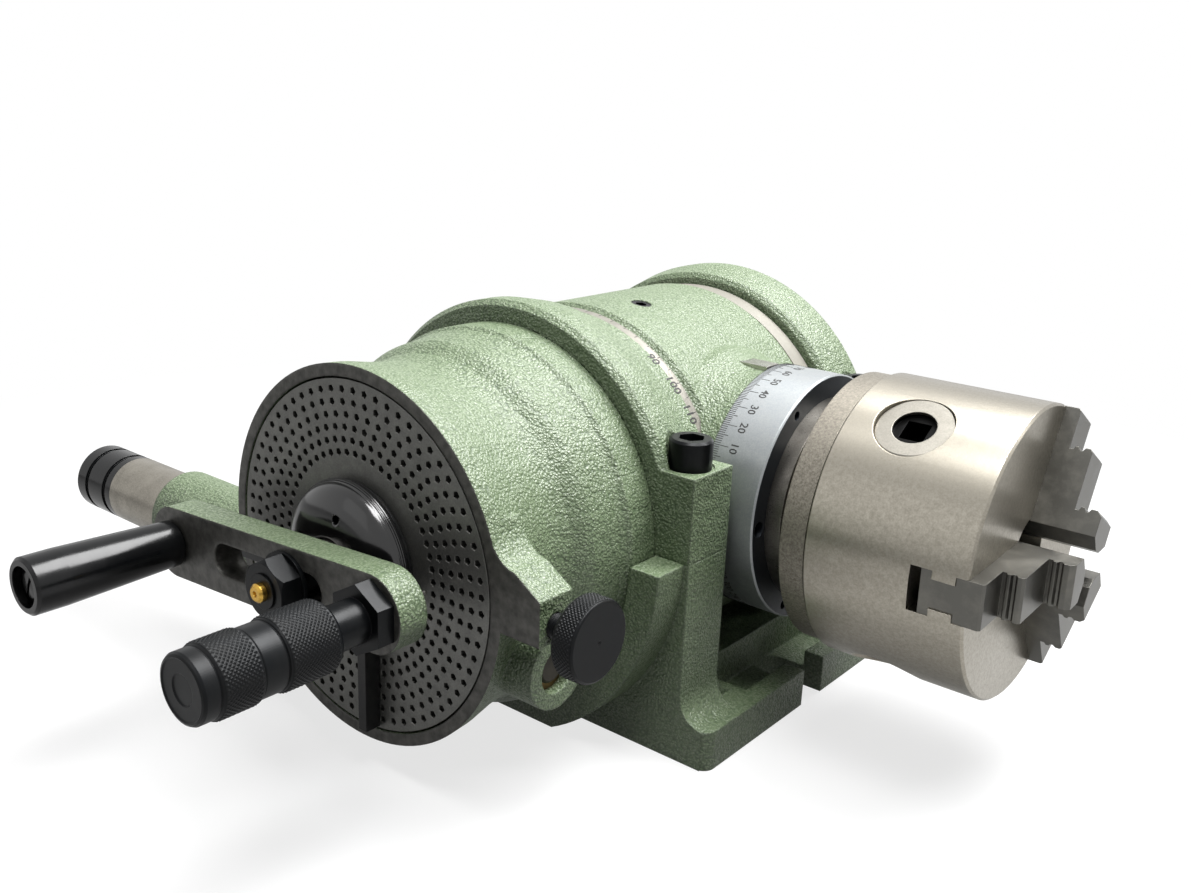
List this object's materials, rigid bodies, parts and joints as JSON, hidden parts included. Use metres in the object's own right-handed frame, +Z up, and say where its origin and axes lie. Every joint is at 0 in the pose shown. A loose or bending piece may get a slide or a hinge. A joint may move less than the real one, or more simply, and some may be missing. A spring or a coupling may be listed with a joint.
{
  "type": "dividing head",
  "caption": "Universal dividing head: a tilting spindle with a three-jaw chuck in a strapped base, an index plate with hole circles, a crank with plunger, sector arms and a side shaft.",
  "frame": {"origin": "on the base underside, straight below the tilt axis and in the plane of the spindle axis", "axes": "+X along the spindle towards the chuck, +Y away from the index plate, +Z up from the base underside"},
  "size_m": [0.4683, 0.3847, 0.184],
  "materials": {
    "green_paint": "hammered",
    "black_steel": "black oxide, satin",
    "bright_steel": "ground",
    "ground_steel": "ground, satin",
    "satin_scale": "satin",
    "grey_steel": "machined",
    "jaw_steel": "hardened, satin",
    "plate_steel": "satin",
    "sector_steel": "satin",
    "black_plastic": "satin",
    "gloss_black": "gloss",
    "brass": "satin",
    "bronze": "machined"
  },
  "bodies": {
    "base": {"base_casting": "green_paint", "near_clamp_strap": "green_paint", "far_clamp_strap": "green_paint", "strap_screws": "black_steel"},
    "swivel": {"swivel_block": "green_paint", "filler_plug": "black_plastic", "near_tilt_scale": "satin_scale", "far_tilt_scale": "satin_scale", "far_cover": "green_paint", "far_cover_screws": "black_steel", "front_bush": "bronze", "rear_bush": "bronze", "worm_bushes": "bronze", "zero_mark_pad": "satin_scale", "index_housing": "green_paint", "side_sleeve": "bright_steel", "side_cap": "black_plastic", "side_bush": "bronze"},
    "spindle": {"spindle": "bright_steel", "spindle_nut": "black_steel", "worm_wheel": "bronze", "graduated_ring": "satin_scale", "chuck_back_plate": "ground_steel", "chuck_body": "ground_steel", "chuck_screws": "black_steel", "chuck_rear_cover": "ground_steel"},
    "worm": {"worm_shaft": "bright_steel", "worm_gear": "bright_steel"},
    "crank": {"crank_shaft": "bright_steel", "crank_gear": "bright_steel", "arm_spacer": "bright_steel", "crank_arm": "grey_steel", "crank_washer": "bright_steel", "crank_nut": "black_steel", "grease_nipple": "brass", "plunger_housing": "black_steel", "handle_pin": "bright_steel"},
    "plunger": {"plunger_knob": "black_steel", "plunger_pin": "bright_steel"},
    "handle": {"handle_grip": "gloss_black"},
    "plate": {"index_plate": "plate_steel", "plate_carrier": "bright_steel", "sector_hub": "black_steel"},
    "sector_lower": {"sector_arm_lower": "sector_steel"},
    "sector_rear": {"sector_arm_rear": "sector_steel"},
    "side_shaft": {"side_shaft": "bright_steel"},
    "lock_screw": {"lock_screw": "black_steel"},
    "scroll": {"scroll_plate": "grey_steel"},
    "jaw_1": {"chuck_jaw_1": "jaw_steel"},
    "pinion_1": {"chuck_pinion_1": "jaw_steel"},
    "jaw_2": {"chuck_jaw_2": "jaw_steel"},
    "pinion_2": {"chuck_pinion_2": "jaw_steel"},
    "jaw_3": {"chuck_jaw_3": "jaw_steel"},
    "pinion_3": {"chuck_pinion_3": "jaw_steel"}
  },
  "joints": [
    {"name": "tilt", "type": "hinge", "parent": "base", "child": "swivel", "pos_m": [0, 0, 0.09], "axis": [0, -1, 0], "range_deg": [-5, 90]},
    {"name": "crank_turn", "type": "hinge", "parent": "swivel", "child": "crank", "pos_m": [0, -0.2, 0.09], "axis": [0, -1, 0], "continuous": true},
    {"name": "worm_turn", "type": "hinge", "parent": "swivel", "child": "worm", "pos_m": [0, 0, 0.056], "axis": [0, -1, 0], "continuous": true},
    {"name": "spindle_turn", "type": "hinge", "parent": "swivel", "child": "spindle", "pos_m": [0, 0, 0.1], "axis": [1, 0, 0], "continuous": true},
    {"name": "plunger_pull", "type": "slide", "parent": "crank", "child": "plunger", "axis": [0, -1, 0], "range_m": [0, 0.006], "stiffness_N_per_m": 300, "springref_m": -0.01},
    {"name": "handle_turn", "type": "hinge", "parent": "crank", "child": "handle", "pos_m": [-0.07536, -0.24, 0.08539], "axis": [0, -1, 0], "continuous": true},
    {"name": "plate_turn", "type": "hinge", "parent": "swivel", "child": "plate", "pos_m": [0, -0.173, 0.09], "axis": [0, -1, 0], "continuous": true},
    {"name": "side_shaft_turn", "type": "hinge", "parent": "swivel", "child": "side_shaft", "pos_m": [0, -0.152, 0.062], "axis": [1, 0, 0], "continuous": true},
    {"name": "sector_lower_turn", "type": "hinge", "parent": "plate", "child": "sector_lower", "pos_m": [0, -0.178, 0.09], "axis": [0, -1, 0], "range_deg": [-40, 120]},
    {"name": "sector_rear_turn", "type": "hinge", "parent": "plate", "child": "sector_rear", "pos_m": [0, -0.178, 0.09], "axis": [0, -1, 0], "range_deg": [-120, 20]},
    {"name": "plate_lock", "type": "slide", "parent": "swivel", "child": "lock_screw", "axis": [1, 0, 0], "range_m": [0, 0.004]},
    {"name": "scroll_turn", "type": "hinge", "parent": "spindle", "child": "scroll", "pos_m": [0.178, 0, 0.1], "axis": [1, 0, 0], "range_deg": [-360, 720]},
    {"name": "jaw_1_slide", "type": "slide", "parent": "spindle", "child": "jaw_1", "axis": [0, -0.9994, -0.0349], "range_m": [-0.006, 0.012]},
    {"name": "pinion_1_turn", "type": "hinge", "parent": "spindle", "child": "pinion_1", "pos_m": [0.1659, -0.02629, 0.05056], "axis": [0, -0.4695, -0.8829], "range_deg": [-1080, 2160]},
    {"name": "jaw_2_slide", "type": "slide", "parent": "spindle", "child": "jaw_2", "axis": [0, 0.5299, -0.848], "range_m": [-0.006, 0.012]},
    {"name": "pinion_2_turn", "type": "hinge", "parent": "spindle", "child": "pinion_2", "pos_m": [0.1659, 0.05597, 0.10195], "axis": [0, 0.9994, 0.0349], "range_deg": [-1080, 2160]},
    {"name": "jaw_3_slide", "type": "slide", "parent": "spindle", "child": "jaw_3", "axis": [0, 0.4695, 0.8829], "range_m": [-0.006, 0.012]},
    {"name": "pinion_3_turn", "type": "hinge", "parent": "spindle", "child": "pinion_3", "pos_m": [0.1659, -0.02967, 0.14749], "axis": [0, -0.5299, 0.848], "range_deg": [-1080, 2160]}
  ],
  "couplings": [
    {"joint": "worm_turn", "follows": "crank_turn", "ratio": -1},
    {"joint": "spindle_turn", "follows": "crank_turn", "ratio": 0.025},
    {"joint": "side_shaft_turn", "follows": "plate_turn", "ratio": 1},
    {"joint": "jaw_1_slide", "follows": "scroll_turn", "m_per_rad": 0.00095493},
    {"joint": "pinion_1_turn", "follows": "scroll_turn", "ratio": 3},
    {"joint": "jaw_2_slide", "follows": "scroll_turn", "m_per_rad": 0.00095493},
    {"joint": "pinion_2_turn", "follows": "scroll_turn", "ratio": 3},
    {"joint": "jaw_3_slide", "follows": "scroll_turn", "m_per_rad": 0.00095493},
    {"joint": "pinion_3_turn", "follows": "scroll_turn", "ratio": 3}
  ]
}
